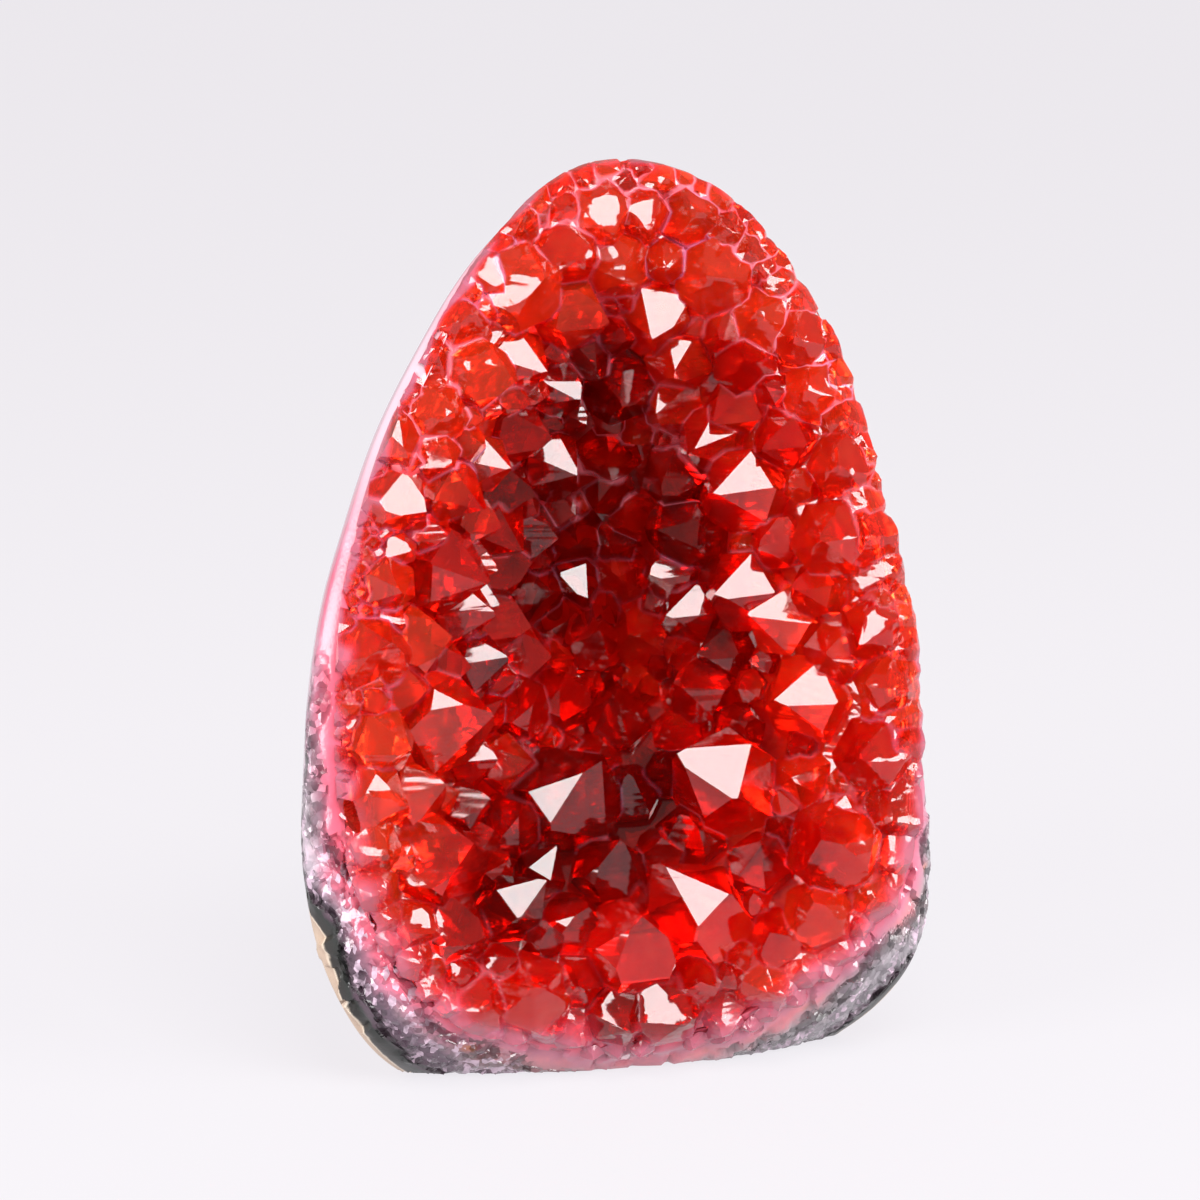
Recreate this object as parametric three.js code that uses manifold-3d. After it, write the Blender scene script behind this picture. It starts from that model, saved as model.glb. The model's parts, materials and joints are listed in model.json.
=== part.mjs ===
// A free-standing quartz geode: half an egg-shaped nodule with a sawn foot, open at the
// front, its hollow lined with one crust of red quartz points.
// Millimetres, +Z up, the open side towards -Y, the origin under the middle of the foot.
import * as THREE from "three";
import { mergeVertices } from "three/addons/utils/BufferGeometryUtils.js";
import Module from "manifold-3d";

const wasm = await Module();
wasm.setup();

// Driving dimensions of the nodule
const HOLLOW_X = 0; // the hollow's middle, from the middle of the nodule
const HOLLOW_Z = 58; // the hollow's middle, above the foot
const EDGE_STEP = 15; // degrees between the radii below, from the right and up over the top
const EDGE_RADII = [
  41, 41, 43, 49.5, 58, 66.5, 67.5, 59.5, 51.5, 46.5, 43.5, 43,
  44, 47, 53, 60, 66, 69, 71, 70.5, 68, 61, 50.5, 43,
]; // from the hollow's middle to the front edge of the nodule
const RIM_WIDTHS = [
  1.5, 1.5, 1.5, 1.5, 2, 2.5, 2.5, 2.5, 3, 3, 3, 3.5,
  4, 5, 7, 10, 13, 17.5, 18.5, 18.5, 18, 12, 5.5, 2,
]; // bare wall between the crystals and that edge
const THIN_RIM = 2.5; // a rim up to this wide is hidden by crystals
const CRYSTAL_OVERHANG = 1.6; // how far they stand out past the edge there
const ONTO_RIM = 4; // how far they spread over a wider rim
const BARE_EDGE = 1; // what stays bare of it at least
const FRONT_Y = -30; // the lowest, foremost part of the open face
const FRONT_LEAN = 30; // how far the top of the face lies behind that
const LEAN_FROM_Z = 16;
const TOE_LEAN = 6; // how far the face draws back again from there down to the foot
const TOP_Z = 125;
const LEAN_POWER = 1.6; // the face is steep below and leans back more towards the top
const BEVEL = 0.5; // fall of the rim towards its edge, for each millimetre of its width
const MOUTH_STEP = 4; // the wall's fall just inside the rim, filled by the crystals' bed
const HOLLOW_DEPTH = 34; // from there
const BOWL_POWER = 1.1; // above 1 the hollow's shoulders are narrower
const BACK_Y = 38;
const BACK_Z = 50; // height of the rearmost point
const BACK_ROUNDNESS = 0.86; // under 1 the back is fuller than an ellipse
const SIDE_STRAIGHTNESS = 0.8; // under 1 the sides run straighter back from the edge
const FRONT_CAP = 9; // raw stone in front of the edge, all of it cut away
const REACH = 8; // how far the cut for the open face goes past the edge
const CUT_FRONT_Y = -70;
const FOOT_BLOCK = 200; // block sawn off below the foot

// Driving dimensions of the crystals
const CRUST_GAP = 0.5; // measured front to back between wall and crust
const BED = 3; // milky quartz under the points, measured front to back
const ROOT = 8; // how far a crystal runs down into its bed before it is trimmed
const FACE_TILT = 51.8; // degrees between a point's face normals and its axis
const FACE_OFFSET = 0.3; // unevenness of a point's six faces, in radii
const SMALLEST_STEP = 0.2; // flats and steps smaller than this are merged
const APART = 0.05; // share of the way to its neighbours that a touching corner is moved
const LEAN_MOST = 20; // degrees a crystal leans from its bed's normal
const CROWDING = 0.74; // closest spacing of two crystals, in the sum of their radii
const LIT_DIRECTION = new THREE.Vector3(-0.087, -0.845, 0.527).normalize();

// The crystals that stand out, as [x, z, radius, 1 where a face is turned up to the front]
const LARGE_CRYSTALS = [
  [-26, 50, 8.2, 1], [18.5, 37, 8.2, 1], [28, 51, 7.2, 1], [-25.5, 71.5, 6.6, 0],
  [-7.5, 81, 6.6, 1], [-11, 110, 6.2, 0], [-6, 34.5, 8.8, 0], [0, 17.5, 7.2, 0],
  [10, 21.5, 8.2, 1], [30, 31, 7.2, 0], [-27.5, 32, 7.6, 0], [-38, 62, 6.4, 0],
  [-38, 42.5, 5.4, 1], [23, 78, 7.4, 1], [22.5, 65, 6.6, 1], [16, 60, 5, 1],
  [26, 61.5, 5.8, 0], [9, 104, 5.4, 1], [18, 86.5, 5.4, 1], [12, 90, 5.4, 0],
  [-17, 24, 5, 1], [-11.5, 27, 3.8, 1], [-15, 14, 6, 0], [-18.5, 55.5, 5, 1],
  [0, 63.5, 4.4, 1], [-31.5, 25, 3.8, 1], [-31, 90, 4.8, 1], [-17.5, 85, 4.4, 1],
  [1, 118, 5.2, 1], [7, 119, 4.2, 1], [-16, 111, 4, 1], [31, 72, 6.8, 0],
  [36, 62, 4.8, 1], [35.5, 44.5, 5.8, 0], [31, 36, 4, 1], [16.5, 73.5, 6, 0],
  [5, 44, 5.4, 0], [3, 90, 5.2, 0], [31, 93, 5.2, 0], [19, 100, 5.4, 0],
  [-32, 79.5, 5.4, 0], [26.5, 22, 5.4, 0], [18.5, 110, 5.2, 0], [25, 102.5, 5, 0],
];
// Smaller crystals fill the bed in between, as [radius, places tried]
const FILLING = [
  [5.2, 300],
  [4.2, 700],
  [3.3, 1500],
  [2.5, 1400],
];

// A value between the ones listed every EDGE_STEP degrees, on a smooth closed curve
function around(values, angle) {
  const place = THREE.MathUtils.euclideanModulo(
    THREE.MathUtils.radToDeg(angle) / EDGE_STEP,
    values.length,
  );
  const i = Math.floor(place);
  const t = place - i;
  const at = (k) => values[(i + k + values.length) % values.length];
  const slopeHere = (at(1) - at(-1)) / 2;
  const slopeNext = (at(2) - at(0)) / 2;
  const rise = at(1) - at(0);
  const bend = 3 * rise - 2 * slopeHere - slopeNext;
  const twist = slopeHere + slopeNext - 2 * rise;
  return at(0) + t * (slopeHere + t * (bend + t * twist));
}

const edgeRadius = (angle) => around(EDGE_RADII, angle);
const mouthRadius = (angle) => edgeRadius(angle) - around(RIM_WIDTHS, angle);

// Where crystals may reach: past the edge at a thin rim, a little way onto a wide one
function windowRadius(angle) {
  const rim = around(RIM_WIDTHS, angle);
  const past = edgeRadius(angle) + CRYSTAL_OVERHANG;
  const onto = mouthRadius(angle) + Math.min(rim - BARE_EDGE, ONTO_RIM);
  return THREE.MathUtils.lerp(past, onto, THREE.MathUtils.smoothstep(rim, THIN_RIM, THIN_RIM + 1));
}

// The open face's place from front to back, at a height
function faceY(z) {
  const up = Math.max(0, (z - LEAN_FROM_Z) / (TOP_Z - LEAN_FROM_Z));
  const down = THREE.MathUtils.clamp(1 - z / LEAN_FROM_Z, 0, 1);
  return FRONT_Y + FRONT_LEAN * up ** LEAN_POWER + TOE_LEAN * down ** 2;
}

// The hollow's wall, front to back, at a place on the open face
function bedY(x, z) {
  const angle = Math.atan2(z - HOLLOW_Z, x - HOLLOW_X);
  const s = Math.min(1, Math.hypot(x - HOLLOW_X, z - HOLLOW_Z) / mouthRadius(angle));
  const fall = 0.5 + 0.5 * Math.cos(Math.PI * s ** BOWL_POWER);
  return faceY(z) + MOUTH_STEP + HOLLOW_DEPTH * fall;
}

function manifoldOf(geometry) {
  geometry.deleteAttribute("normal");
  geometry.deleteAttribute("uv");
  const merged = mergeVertices(geometry, 1e-4);
  return new wasm.Manifold(
    new wasm.Mesh({
      numProp: 3,
      vertProperties: merged.attributes.position.array,
      triVerts: new Uint32Array(merged.index.array),
    }),
  );
}

// A ball with its poles at the front and the back, each vertex moved to shape(ring, angle),
// where ring 0 is the front pole
function shapedBall(spokes, rings, shape) {
  const geometry = new THREE.SphereGeometry(1, spokes, rings);
  const position = geometry.attributes.position;
  const p = new THREE.Vector3();
  for (let i = 0; i < position.count; i++) {
    p.fromBufferAttribute(position, i);
    const ring = Math.round((Math.acos(THREE.MathUtils.clamp(-p.y, -1, 1)) / Math.PI) * rings);
    const angle = ring === 0 || ring === rings ? 0 : Math.atan2(p.z, p.x);
    const [x, y, z] = shape(ring, angle);
    position.setXYZ(i, x, y, z);
  }
  return manifoldOf(geometry);
}

const onFace = (radius, angle) => [
  HOLLOW_X + radius * Math.cos(angle),
  HOLLOW_Z + radius * Math.sin(angle),
];

// The nodule before it is opened: an egg with straight sides behind its front edge
function wholeNodule(spokes) {
  const capRings = 2;
  return shapedBall(spokes, capRings + SIDE_RINGS, (ring, angle) => {
    const [edgeX, edgeZ] = onFace(edgeRadius(angle), angle);
    if (ring === 0) return [HOLLOW_X, FRONT_Y - FRONT_CAP, HOLLOW_Z];
    if (ring === 1) return [edgeX, FRONT_Y - FRONT_CAP, edgeZ];
    const turn = ((ring - capRings) / SIDE_RINGS) * (Math.PI / 2);
    const share = Math.max(0, Math.cos(turn)) ** BACK_ROUNDNESS;
    const back = Math.sin(turn) ** (1 / SIDE_STRAIGHTNESS);
    const middleZ = THREE.MathUtils.lerp(HOLLOW_Z, BACK_Z, back);
    return [
      HOLLOW_X + share * (edgeX - HOLLOW_X),
      THREE.MathUtils.lerp(faceY(edgeZ), BACK_Y, back),
      middleZ + share * (edgeZ - HOLLOW_Z),
    ];
  });
}

// What is cut away for the hollow and the open face, ring by ring from the front. An inset
// gives the same shape standing off the wall by that much
function openingCut(spokes, inset = 0) {
  const rim = (share) => (angle) => {
    const width = edgeRadius(angle) - mouthRadius(angle);
    const [x, z] = onFace(mouthRadius(angle) + share * width - (share ? 0 : inset), angle);
    return [x, faceY(z) + BEVEL * width * share ** 2 - inset, z];
  };
  const past = (angle) => {
    const [x, z] = onFace(edgeRadius(angle) + REACH, angle);
    return [x, rim(1)(angle)[1] + 2 * BEVEL * REACH, z];
  };
  const front = (angle) => {
    const [x, , z] = past(angle);
    return [x, CUT_FRONT_Y, z];
  };
  const bowl = (share) => (angle) => {
    const [wallX, wallZ] = onFace(mouthRadius(angle) * share, angle);
    const [x, z] = onFace((mouthRadius(angle) - inset) * share, angle);
    return [x, bedY(wallX, wallZ) - inset, z];
  };
  const rings = [() => [HOLLOW_X, CUT_FRONT_Y, HOLLOW_Z], front, past, rim(1), rim(0.5), rim(0)];
  for (let i = BOWL_RINGS; i >= 0; i--) rings.push(bowl(i / BOWL_RINGS));
  return shapedBall(spokes, rings.length - 1, (ring, angle) => rings[ring](angle));
}

// A straight column through the open face, as wide as radius(angle)
function column(spokes, radius) {
  return shapedBall(spokes, 3, (ring, angle) => {
    const [x, z] = onFace(ring % 3 ? radius(angle) : 0, angle);
    return [x, ring < 2 ? CUT_FRONT_Y : BACK_Y, z];
  });
}

function footBlock() {
  const box = new THREE.BoxGeometry(FOOT_BLOCK, FOOT_BLOCK, FOOT_BLOCK);
  return manifoldOf(box.translate(0, 0, -FOOT_BLOCK / 2));
}

// Repeatable random numbers from 0 to 1
let state = 20260;
function random() {
  state = (Math.imul(state, 1664525) + 1013904223) >>> 0;
  return state / 4294967296;
}

// The bed's outward normal, from how the wall's depth changes over 1 mm
function bedNormal(x, z) {
  const acrossX = (bedY(x + 1, z) - bedY(x - 1, z)) / 2;
  const acrossZ = (bedY(x, z + 1) - bedY(x, z - 1)) / 2;
  return new THREE.Vector3(acrossX, -1, acrossZ).normalize();
}

// A crystal's place, direction and shape. Each takes the same number of random draws
function plan(x, z, radius, large, lit) {
  const draws = Array.from({ length: 10 }, random);
  const foot = new THREE.Vector3(x, bedY(x, z) - CRUST_GAP - BED, z);
  const normal = bedNormal(x, z);
  const tilt = THREE.MathUtils.degToRad(FACE_TILT);
  const axis = new THREE.Vector3();
  const side = new THREE.Vector3();
  if (lit) {
    side.copy(normal).addScaledVector(LIT_DIRECTION, -normal.dot(LIT_DIRECTION)).normalize();
    axis.copy(LIT_DIRECTION).multiplyScalar(Math.cos(tilt)).addScaledVector(side, Math.sin(tilt));
    side.copy(LIT_DIRECTION).addScaledVector(axis, -LIT_DIRECTION.dot(axis)).normalize();
  } else {
    const lean = THREE.MathUtils.degToRad(LEAN_MOST) * draws[0];
    const first = new THREE.Vector3(0, 0, 1).cross(normal).normalize();
    const second = normal.clone().cross(first);
    axis.copy(normal).multiplyScalar(Math.cos(lean));
    axis.addScaledVector(first, Math.sin(lean) * Math.cos(2 * Math.PI * draws[1]));
    axis.addScaledVector(second, Math.sin(lean) * Math.sin(2 * Math.PI * draws[1]));
    side.copy(first).addScaledVector(axis, -first.dot(axis)).normalize();
    side.applyAxisAngle(axis, (Math.PI / 3) * draws[2]);
  }
  const pointHeight = radius * Math.cos(Math.PI / 6) * Math.tan(tilt);
  const height = pointHeight * (large ? 1.15 + 0.25 * draws[3] : 0.8 + 0.3 * draws[3]);
  const offsets = draws.slice(4).map((d) => FACE_OFFSET * radius * (d - 0.5));
  return { foot, axis, side, radius, height, offsets };
}

// A six-sided prism, its end cleaved by six sloping faces
function crystal({ foot, axis, side, radius, height, offsets }) {
  const length = height + radius + ROOT;
  const prism = new THREE.CylinderGeometry(radius, radius, length, 6, 1);
  prism.rotateY(Math.PI / 6);
  prism.translate(0, length / 2 - ROOT, 0);
  const across = new THREE.Vector3().crossVectors(axis, side);
  const turn = new THREE.Matrix4().makeBasis(across, axis, side);
  prism.applyMatrix4(turn.setPosition(foot));
  let solid = manifoldOf(prism);
  const tilt = THREE.MathUtils.degToRad(FACE_TILT);
  const tip = foot.clone().addScaledVector(axis, height);
  offsets.forEach((offset, k) => {
    const outward = side.clone().applyAxisAngle(axis, (k * Math.PI) / 3);
    const face = outward.multiplyScalar(Math.sin(tilt)).addScaledVector(axis, Math.cos(tilt));
    const reach = face.dot(tip) + offset * Math.cos(tilt);
    solid = solid.trimByPlane(face.clone().negate().toArray(), -reach);
  });
  return solid;
}

// Where every crystal stands: the large ones first, then ever smaller ones where there is room
function placeCrystals() {
  const placed = LARGE_CRYSTALS.map(([x, z, radius, lit]) => plan(x, z, radius, true, lit));
  for (const [size, tries] of FILLING) {
    for (let i = 0; i < tries; i++) {
      const angle = 2 * Math.PI * random();
      const share = Math.sqrt(random());
      const radius = size * (0.88 + 0.24 * random());
      const [x, z] = onFace(share * (mouthRadius(angle) - 0.5), angle);
      const made = plan(x, z, radius, false, false);
      const crowded = placed.some(
        (other) => other.foot.distanceTo(made.foot) < CROWDING * (other.radius + radius),
      );
      if (!crowded) placed.push(made);
    }
  }
  return placed;
}

function largestPiece(solid) {
  const pieces = solid.decompose();
  return pieces.reduce((best, piece) => (piece.volume() > best.volume() ? piece : best));
}

const SPOKES = 40;
const SIDE_RINGS = 8;
const BOWL_RINGS = 8;
const opening = openingCut(SPOKES);

function geodeShell() {
  return wholeNodule(SPOKES).subtract(opening).subtract(footBlock());
}

function crystalCrust() {
  const room = openingCut(SPOKES, CRUST_GAP);
  const mouth = column(SPOKES, (angle) => mouthRadius(angle) - CRUST_GAP);
  const bare = opening.translate([0, -CRUST_GAP - BED, 0]).add(room.subtract(mouth));
  const points = wasm.Manifold.union(placeCrystals().map(crystal));
  const crust = room.subtract(bare.subtract(points)).intersect(column(SPOKES, windowRadius));
  const whole = crust.subtract(footBlock()).asOriginal();
  return largestPiece(whole.simplify(SMALLEST_STEP));
}

// Corners from different sides of the surface that meet in one point are drawn apart
function drawApart(geometry) {
  const position = geometry.attributes.position;
  const index = geometry.index.array;
  const corner = (i) => new THREE.Vector3().fromBufferAttribute(position, i);
  const together = new Map();
  for (let i = 0; i < position.count; i++) {
    const place = corner(i).toArray().join();
    together.set(place, [...(together.get(place) ?? []), i]);
  }
  for (const touching of together.values()) {
    if (touching.length === 1) continue;
    for (const i of touching) {
      const around = new THREE.Box3();
      for (let k = 0; k < index.length; k += 3) {
        const triangle = index.subarray(k, k + 3);
        if (triangle.includes(i)) triangle.forEach((n) => around.expandByPoint(corner(n)));
      }
      const moved = corner(i).lerp(around.getCenter(new THREE.Vector3()), APART);
      position.setXYZ(i, moved.x, moved.y, moved.z);
    }
  }
}

function meshOf(name, solid, finish) {
  const made = solid.getMesh();
  const geometry = new THREE.BufferGeometry();
  geometry.setAttribute("position", new THREE.BufferAttribute(made.vertProperties, 3));
  geometry.setIndex(new THREE.BufferAttribute(made.triVerts, 1));
  drawApart(geometry);
  geometry.computeVertexNormals();
  const mesh = new THREE.Mesh(geometry, new THREE.MeshStandardMaterial(finish));
  mesh.name = name;
  return mesh;
}

const geode = new THREE.Group();
geode.add(
  meshOf("geode_shell", geodeShell(), { color: 0xa9a5a6, roughness: 0.35, metalness: 0 }),
  meshOf("crystal_crust", crystalCrust(), { color: 0xc41a12, roughness: 0.08, metalness: 0 }),
);

// The origin is under the middle of the whole piece, on the plane of the foot
const bounds = new THREE.Box3().setFromObject(geode);
const middle = bounds.getCenter(new THREE.Vector3());
geode.position.set(-middle.x, -middle.y, 0);

export default geode;
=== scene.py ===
# %% [markdown]
# # A quartz geode
#
# A geode is a hollow lump of stone whose cavity is lined with crystals. This one stands on a
# sawn foot and opens to the front: grey agate and a black skin outside, milky quartz inside
# that, and then a crust of clear quartz points stained a deep red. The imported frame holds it
# as two solids, the wall and the crust. Both are plain, so this lesson makes each of them
# again with finer shapes and real finishes, in the same place and at the same size.

# %% The frame
import json
import math

import bmesh
import bpy
import numpy as np
from mathutils import Matrix, Vector, noise
from mathutils.kdtree import KDTree

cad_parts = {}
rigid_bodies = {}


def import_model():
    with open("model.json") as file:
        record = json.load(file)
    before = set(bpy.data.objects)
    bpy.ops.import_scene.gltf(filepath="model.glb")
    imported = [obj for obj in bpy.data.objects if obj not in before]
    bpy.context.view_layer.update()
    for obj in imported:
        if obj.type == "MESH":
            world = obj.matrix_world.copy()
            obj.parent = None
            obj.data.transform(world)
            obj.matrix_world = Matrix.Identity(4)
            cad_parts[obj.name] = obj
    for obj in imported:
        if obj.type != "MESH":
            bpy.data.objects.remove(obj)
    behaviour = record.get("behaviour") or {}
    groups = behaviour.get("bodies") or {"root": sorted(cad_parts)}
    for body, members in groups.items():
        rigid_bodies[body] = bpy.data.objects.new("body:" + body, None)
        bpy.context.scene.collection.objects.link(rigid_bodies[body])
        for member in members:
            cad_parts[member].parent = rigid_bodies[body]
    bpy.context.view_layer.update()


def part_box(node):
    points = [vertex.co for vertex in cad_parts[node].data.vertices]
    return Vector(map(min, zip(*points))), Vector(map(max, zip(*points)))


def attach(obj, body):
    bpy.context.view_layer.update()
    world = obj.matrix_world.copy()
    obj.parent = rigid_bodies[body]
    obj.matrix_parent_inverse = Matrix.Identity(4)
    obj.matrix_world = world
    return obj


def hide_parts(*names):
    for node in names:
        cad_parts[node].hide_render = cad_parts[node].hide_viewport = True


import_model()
MM = 0.001

# %% [markdown]
# The nodule's outline is a closed curve around the middle of its hollow, given as a radius
# every 15 degrees from the right and up over the top, with the width of the bare rim beside
# it, and how far past that outline the crystals reach, or how far short of it they stop. A
# cubic curve through the listed values keeps all three round. The open face leans back
# towards the top, and draws back a little at the toe. All lengths here are millimetres.

# %% The nodule's figures
HOLLOW_Z = 58
EDGE_RADII = [
    41, 41, 43, 49.5, 58, 66.5, 67.5, 59.5, 51.5, 46.5, 43.5, 43,
    44, 47, 53, 60, 66, 69, 71, 70.5, 68, 61, 50.5, 43,
]
RIM_WIDTHS = [
    1.5, 1.5, 1.5, 1.5, 2, 2.5, 2.5, 2.5, 3, 3, 3, 3.5,
    4, 5, 7, 10, 13, 17.5, 18.5, 18.5, 18, 12, 5.5, 2,
]
CRYSTAL_REACH = [
    1.3, 1.3, 1.3, 1.2, 0.8, 0.4, 0.2, -0.1, -0.8, -1, -1.2, -2,
    -3, -4, -6, -9.1, -12, -14.6, -15, -15, -14.6, -9.6, -3.2, 0.5,
]
FRONT_Y = -30
FRONT_LEAN = 30
LEAN_FROM_Z = 16
TOE_LEAN = 6
TOP_Z = 125
LEAN_POWER = 1.6
BEVEL = 0.5
MOUTH_STEP = 4
HOLLOW_DEPTH = 34
BOWL_POWER = 1.1
BACK_Y = 38
BACK_Z = 50
BACK_ROUNDNESS = 0.86
SIDE_STRAIGHTNESS = 0.8


def around(values, angle):
    """The value at an angle on a smooth closed curve through evenly spaced values."""
    place = (angle / (2 * math.pi) * len(values)) % len(values)
    i = int(place)
    t = place - i
    before, here, after, beyond = (values[(i + k) % len(values)] for k in (-1, 0, 1, 2))
    slope = (after - before) / 2
    next_slope = (beyond - here) / 2
    rise = after - here
    bend = 3 * rise - 2 * slope - next_slope
    return here + t * (slope + t * (bend + t * (slope + next_slope - 2 * rise)))


def edge_radius(angle):
    return around(EDGE_RADII, angle)


def mouth_radius(angle):
    return edge_radius(angle) - around(RIM_WIDTHS, angle)


def smoothstep(value, low, high):
    t = min(1, max(0, (value - low) / (high - low)))
    return t * t * (3 - 2 * t)


def window_radius(angle):
    """Where crystals may reach: past a thin rim, or a little way onto a wide one."""
    return edge_radius(angle) + around(CRYSTAL_REACH, angle)


def face_y(z):
    """The open face's place from front to back."""
    up = max(0, (z - LEAN_FROM_Z) / (TOP_Z - LEAN_FROM_Z))
    down = min(1, max(0, 1 - z / LEAN_FROM_Z))
    return FRONT_Y + FRONT_LEAN * up**LEAN_POWER + TOE_LEAN * down**2


def polar(x, z):
    """The angle and the distance of a place from the hollow's middle, seen from the front."""
    return math.atan2(z - HOLLOW_Z, x), math.hypot(x, z - HOLLOW_Z)


def bed_y(x, z):
    """The hollow's wall, from front to back."""
    angle, radius = polar(x, z)
    s = min(1, radius / mouth_radius(angle))
    fall = 0.5 + 0.5 * math.cos(math.pi * s**BOWL_POWER)
    return face_y(z) + MOUTH_STEP + HOLLOW_DEPTH * fall


def on_face(radius, angle):
    return radius * math.cos(angle), HOLLOW_Z + radius * math.sin(angle)


print("the mouth is", round(2 * mouth_radius(0), 1), "mm wide, and the hollow",
      round(bed_y(0, HOLLOW_Z) - face_y(HOLLOW_Z), 1), "mm deep")

# %% [markdown]
# The figures above are measured from the middle of the hollow, and the frame's origin is
# under the middle of the whole stone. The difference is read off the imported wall: its
# rightmost point is the widest of its 40 spokes, and its rearmost one is at BACK_Y.

# %% From the hollow's middle to the frame's origin
CAD_SPOKES = 40
spoke_angles = [2 * math.pi * k / CAD_SPOKES for k in range(CAD_SPOKES)]
rightmost = max(on_face(edge_radius(a), a)[0] for a in spoke_angles)
wall_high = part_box("geode_shell")[1]
SHIFT = Vector((wall_high.x / MM - rightmost, wall_high.y / MM - BACK_Y, 0))
TO_FRAME = Matrix.Scale(MM, 4) @ Matrix.Translation(SHIFT)
print("shift in mm:", [round(v, 3) for v in SHIFT])

# %% [markdown]
# Every solid starts as a UV sphere with its poles at the front and the back, whose rings are
# then moved onto the shape, one function for each ring. It keeps the mesh closed and even.
# The solids meet in booleans. The Manifold solver is the quick one, and takes a whole
# collection of tools in one go, which matters with hundreds of crystals.

# %% Shaping and joining solids
workshop = bpy.data.collections.new("workshop")
bpy.context.scene.collection.children.link(workshop)


def mesh_object(name, bm, collection=workshop):
    data = bpy.data.meshes.new(name)
    bm.to_mesh(data)
    bm.free()
    made = bpy.data.objects.new(name, data)
    collection.objects.link(made)
    return made


def face_outwards(bm):
    bmesh.ops.recalc_face_normals(bm, faces=bm.faces)
    if bm.calc_volume(signed=True) < 0:
        bmesh.ops.reverse_faces(bm, faces=bm.faces)


def shaped_ball(spokes, rings):
    """A ball whose rings, from the front pole to the back one, are moved to ring(angle)."""
    bm = bmesh.new()
    bmesh.ops.create_uvsphere(bm, u_segments=spokes, v_segments=len(rings) - 1, radius=1)
    for vert in bm.verts:
        ring = round(math.acos(min(1, max(-1, vert.co.z))) / math.pi * (len(rings) - 1))
        vert.co = rings[ring](math.atan2(vert.co.y, vert.co.x))
    face_outwards(bm)
    return bm


def smooth(bm, verts, factor, rounds):
    for _ in range(rounds):
        bmesh.ops.smooth_vert(
            bm, verts=verts, factor=factor, use_axis_x=True, use_axis_y=True, use_axis_z=True
        )


def combine(base, operation, tools):
    """One boolean on base, with an object or a collection of objects as the tools."""
    modifier = base.modifiers.new(operation, "BOOLEAN")
    modifier.operation = operation
    modifier.solver = "MANIFOLD"
    if isinstance(tools, bpy.types.Collection):
        modifier.operand_type = "COLLECTION"
        modifier.collection = tools
    else:
        modifier.object = tools
    graph = bpy.context.evaluated_depsgraph_get()
    result = bpy.data.meshes.new_from_object(base.evaluated_get(graph))
    base.modifiers.clear()
    base.data = result
    return base


# %% [markdown]
# Quartz grows as a six-sided prism with a six-sided point, whose faces are always tilted
# 51.8 degrees from the axis. In a geode, each crystal grows away from the wall until its
# neighbours stop it, so only the points show. The large crystals are placed one by one from a
# list. Where a face catches the light in front of the stone, the crystal is turned to do so.
# The rest are thrown at the wall at random, the biggest first, and kept where there is room.

# %% Placing the crystals
BED = 3.5
FACE_TILT = math.radians(51.8)
FACE_OFFSET = 0.3
LEAN_MOST = math.radians(20)
MINOR_FACE_OFFSET = 0.32
LIT_FACE_OFFSET = 0.16
CROWDING = 0.6
FILL_LIFT = 1.6
LEAST_PROUD = 0.35
PROUD_AT_EDGE = 2.0
PROUD_ON_COVERED = 1.2
PROUD_INSIDE = 15
LIT_DIRECTION = Vector((-0.087, -0.845, 0.527)).normalized()
# Each is x, z, radius, and 1 where a face is turned up to the light
LARGE_CRYSTALS = [
    (-26, 50, 8.2, 1), (18.5, 37, 8.2, 1), (28, 51, 7.2, 1), (-25.5, 71.5, 6.6, 0),
    (-5.5, 82, 5.8, 1), (-11.5, 109, 6.4, 0), (-6, 34.5, 8.8, 0), (0, 17.5, 7.2, 0),
    (10, 21.5, 8.2, 1), (30, 31, 7.2, 0), (-27.5, 32, 7.6, 0), (-36, 62, 6, 0),
    (-36.5, 42.5, 5.4, 1), (22.5, 79.5, 6.8, 1), (22.5, 65, 6.6, 1), (16, 60, 5, 1),
    (26, 61.5, 5.8, 0), (9.5, 104, 5.8, 1), (18, 86.5, 5.2, 1), (12.5, 91.5, 5.4, 0),
    (-17, 24, 5, 1), (-11.5, 27, 3.8, 1), (-15, 14, 6, 0), (-18.5, 55.5, 5, 1),
    (0, 63.5, 4.4, 1), (-31.5, 25, 3.8, 1), (-31, 90, 4.8, 1), (-17.5, 85, 4.4, 1),
    (1, 118.5, 5.2, 1), (7, 118.5, 4.2, 1), (-16, 111, 4, 1), (31.5, 74, 6, 0),
    (36, 62, 4.8, 1), (35.5, 44.5, 5.8, 0), (31, 36, 4, 1), (16.5, 72.5, 6, 0),
    (5, 44, 5.4, 0), (5, 94, 5.8, 0), (29.5, 94, 4.8, 0), (21.5, 97.5, 5.2, 0),
    (-31, 81.5, 5.2, 1), (26.5, 22, 5.4, 0), (17, 109.5, 6, 0), (23.5, 103.5, 5, 0),
    (-4, 105, 5.4, 0), (3.5, 111.5, 5.6, 0), (-4, 113.5, 5.2, 0), (28.5, 101, 4.4, 0),
    (20.5, 91.5, 4.6, 0), (-18, 98, 5, 0), (-4.8, 94, 4.6, 1), (-11, 117, 5.2, 0),
    (14.5, 80.5, 5.6, 0), (-12, 99, 5, 0), (33, 84, 5, 0), (26, 87.5, 4.8, 0),
    (-24.5, 93, 4.6, 0), (-20, 104.5, 4.6, 0), (13, 98, 5, 0), (38, 54, 4.6, 0),
]
# Each is a radius and how many places are tried
FILLING = [(5.2, 700), (4.2, 1500), (3.3, 2500), (2.4, 3000)]
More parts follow.
